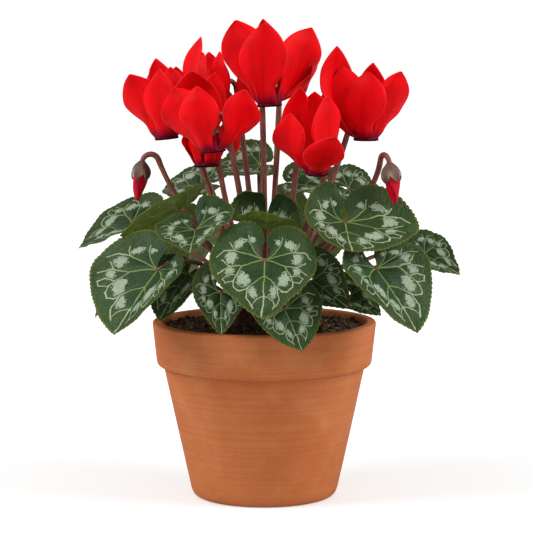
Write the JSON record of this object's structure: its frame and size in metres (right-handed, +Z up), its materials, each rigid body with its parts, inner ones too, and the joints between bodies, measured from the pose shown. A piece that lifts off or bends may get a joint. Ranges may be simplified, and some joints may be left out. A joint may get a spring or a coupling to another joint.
{
  "type": "potted cyclamen",
  "caption": "Flowering cyclamen in a terracotta pot: heart-shaped, silver-marked leaves under nodding scarlet flowers and buds on slender stalks, all from one tuber in potting soil.",
  "frame": {"origin": "on the pot's axis at the level of its foot, which is the middle of the plant's bounding box in plan within 3 mm", "axes": "+Z up along the pot's axis, -Y towards the front of the plant as pictured, +X to its right"},
  "size_m": [0.2598, 0.223, 0.3189],
  "materials": {
    "pot": "unglazed terracotta, matt, with a pale salmon bloom and faint turning marks",
    "soil": "moist dark potting soil with tan crumbs",
    "tuber": "brown corky tuber",
    "leaf": "satin dark green with pale silver blotches and veins, olive green underneath",
    "petal": "silky scarlet, crimson purple at the foot of each petal",
    "stalk": "satin red-brown with paler streaks, brown and tan calyx"
  },
  "bodies": {
    "root": {"pot": "pot", "soil": "soil", "tuber": "tuber", "leaf_01": "leaf", "leaf_02": "leaf", "leaf_03": "leaf", "leaf_04": "leaf", "leaf_05": "leaf", "leaf_06": "leaf", "leaf_07": "leaf", "leaf_08": "leaf", "leaf_09": "leaf", "leaf_10": "leaf", "leaf_11": "leaf", "leaf_12": "leaf", "leaf_13": "leaf", "leaf_14": "leaf", "leaf_15": "leaf", "leaf_16": "leaf", "leaf_17": "leaf", "leaf_18": "leaf", "leaf_19": "leaf", "leaf_20": "leaf", "leaf_21": "leaf", "leaf_22": "leaf", "leaf_23": "leaf", "leaf_24": "leaf", "leaf_25": "leaf", "bloom_01": "petal", "bloom_02": "petal", "bloom_03": "petal", "bloom_04": "petal", "bloom_05": "petal", "bloom_06": "petal", "bloom_07": "petal", "bloom_08": "petal", "bloom_09": "petal", "bloom_10": "petal", "stalk_01": "stalk", "stalk_02": "stalk", "stalk_03": "stalk", "stalk_04": "stalk", "stalk_05": "stalk", "stalk_06": "stalk", "stalk_07": "stalk", "stalk_08": "stalk", "stalk_09": "stalk", "stalk_10": "stalk", "bud_left": "petal", "bud_right": "petal", "budstalk_left": "stalk", "budstalk_right": "stalk"}
  },
  "joints": []
}
